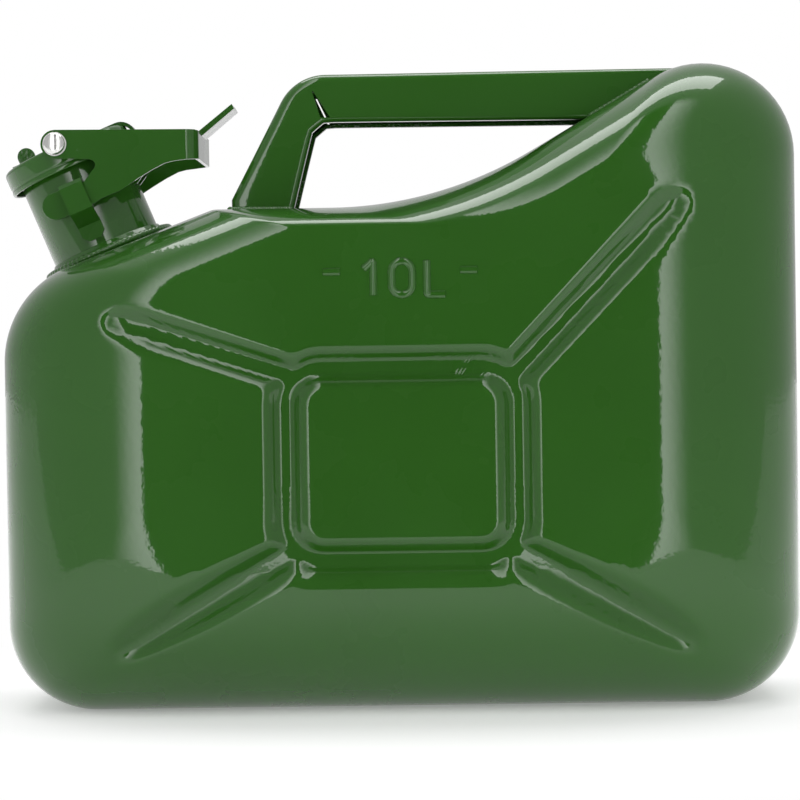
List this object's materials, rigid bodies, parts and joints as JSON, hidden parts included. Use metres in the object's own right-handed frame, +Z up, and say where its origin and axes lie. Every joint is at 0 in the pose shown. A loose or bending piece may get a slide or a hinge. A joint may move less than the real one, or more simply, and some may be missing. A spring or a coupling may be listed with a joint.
{
  "type": "jerry can",
  "caption": "Pressed-steel fuel can with rounded halves, pressed cross channel, angled neck, cam-lever cap and channel handle.",
  "frame": {"origin": "on the ground, at the centre of the can's bounding box", "axes": "+X along the length, from the spout end to the handle end; +Y to the back; +Z up"},
  "size_m": [0.3466, 0.152, 0.2777],
  "materials": {
    "paint": "gloss green enamel",
    "pins": "zinc plated",
    "gasket": "matt"
  },
  "bodies": {
    "can": {"tank_front_shell": "paint", "tank_back_shell": "paint", "tank_seam_weld": "paint", "neck_tube": "paint", "neck_collar": "paint", "neck_weld_bead": "paint", "mouth_ring": "paint", "breather_tube": "paint", "breather_clip": "paint", "keeper_plate_front": "paint", "keeper_plate_back": "paint", "keeper_strap_front": "paint", "keeper_strap_back": "paint", "catch_stud_front": "pins", "catch_stud_back": "pins", "hinge_bracket": "paint", "hinge_pin": "pins", "handle_channel": "paint", "handle_foot_weld": "paint", "handle_rear_weld": "paint"},
    "cap": {"cap_shell": "paint", "cap_gasket": "gasket", "gasket_retainer": "pins", "cap_rivet": "pins", "cap_bridge": "paint", "pivot_stud_front": "pins", "pivot_stud_back": "pins", "pivot_washer_front": "pins", "pivot_washer_back": "pins"},
    "lever": {"lever_yoke": "paint"}
  },
  "joints": [
    {"name": "cap_hinge", "type": "hinge", "parent": "can", "child": "cap", "pos_m": [-0.11223, 0, 0.24197], "axis": [0, 1, 0], "range_deg": [0, 99]},
    {"name": "lever_pivot", "type": "hinge", "parent": "cap", "child": "lever", "pos_m": [-0.14833, 0, 0.24682], "axis": [0, -1, 0], "range_deg": [0, 180]}
  ],
  "couplings": [
    {"joint": "cap_hinge", "follows": "lever_pivot", "ratio": 0.55}
  ]
}
